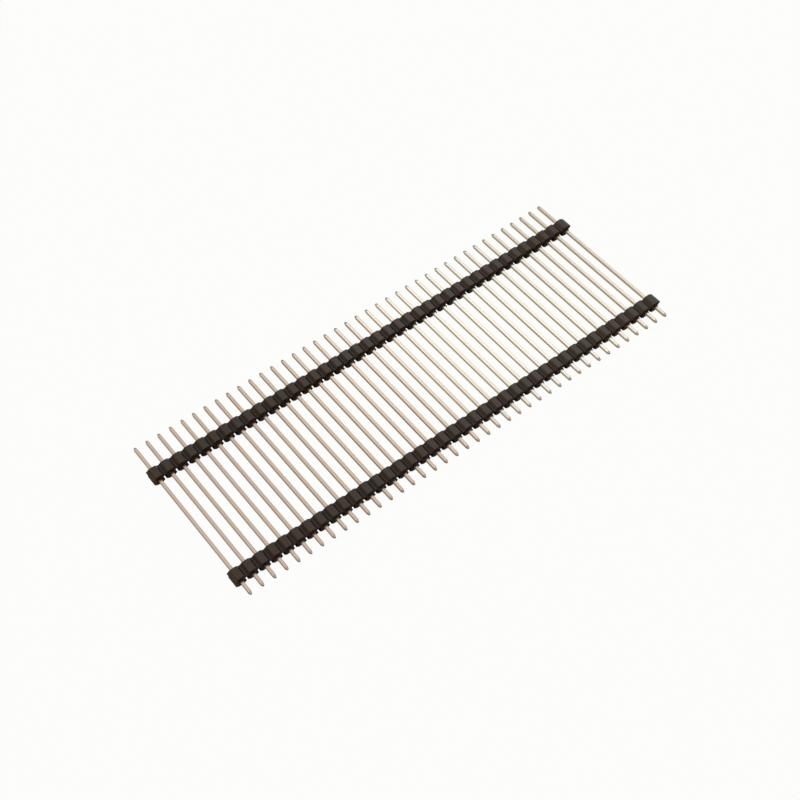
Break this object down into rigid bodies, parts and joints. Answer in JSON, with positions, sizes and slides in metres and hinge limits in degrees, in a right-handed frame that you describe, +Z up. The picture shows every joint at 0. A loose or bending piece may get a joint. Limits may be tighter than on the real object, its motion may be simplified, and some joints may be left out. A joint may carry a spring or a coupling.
{
  "type": "pin header strip",
  "caption": "Single-row breakaway pin header: long square contact pins pressed through two black insulator strips, for stacking circuit boards.",
  "frame": {"origin": "middle of the strip on the surface that it lies on", "axes": "+X along the row, +Y along the pins towards the longer posts, +Z up from the surface"},
  "size_m": [0.1016, 0.038, 0.0024],
  "materials": {
    "plated_wire": "bright plated, drawn along its length",
    "black_moulding": "fine satin moulding"
  },
  "bodies": {
    "root": {"pin_01": "plated_wire", "pin_02": "plated_wire", "pin_03": "plated_wire", "pin_04": "plated_wire", "pin_05": "plated_wire", "pin_06": "plated_wire", "pin_07": "plated_wire", "pin_08": "plated_wire", "pin_09": "plated_wire", "pin_10": "plated_wire", "pin_11": "plated_wire", "pin_12": "plated_wire", "pin_13": "plated_wire", "pin_14": "plated_wire", "pin_15": "plated_wire", "pin_16": "plated_wire", "pin_17": "plated_wire", "pin_18": "plated_wire", "pin_19": "plated_wire", "pin_20": "plated_wire", "pin_21": "plated_wire", "pin_22": "plated_wire", "pin_23": "plated_wire", "pin_24": "plated_wire", "pin_25": "plated_wire", "pin_26": "plated_wire", "pin_27": "plated_wire", "pin_28": "plated_wire", "pin_29": "plated_wire", "pin_30": "plated_wire", "pin_31": "plated_wire", "pin_32": "plated_wire", "pin_33": "plated_wire", "pin_34": "plated_wire", "pin_35": "plated_wire", "pin_36": "plated_wire", "pin_37": "plated_wire", "pin_38": "plated_wire", "pin_39": "plated_wire", "pin_40": "plated_wire", "post_insulator": "black_moulding", "tail_insulator": "black_moulding"}
  },
  "joints": []
}
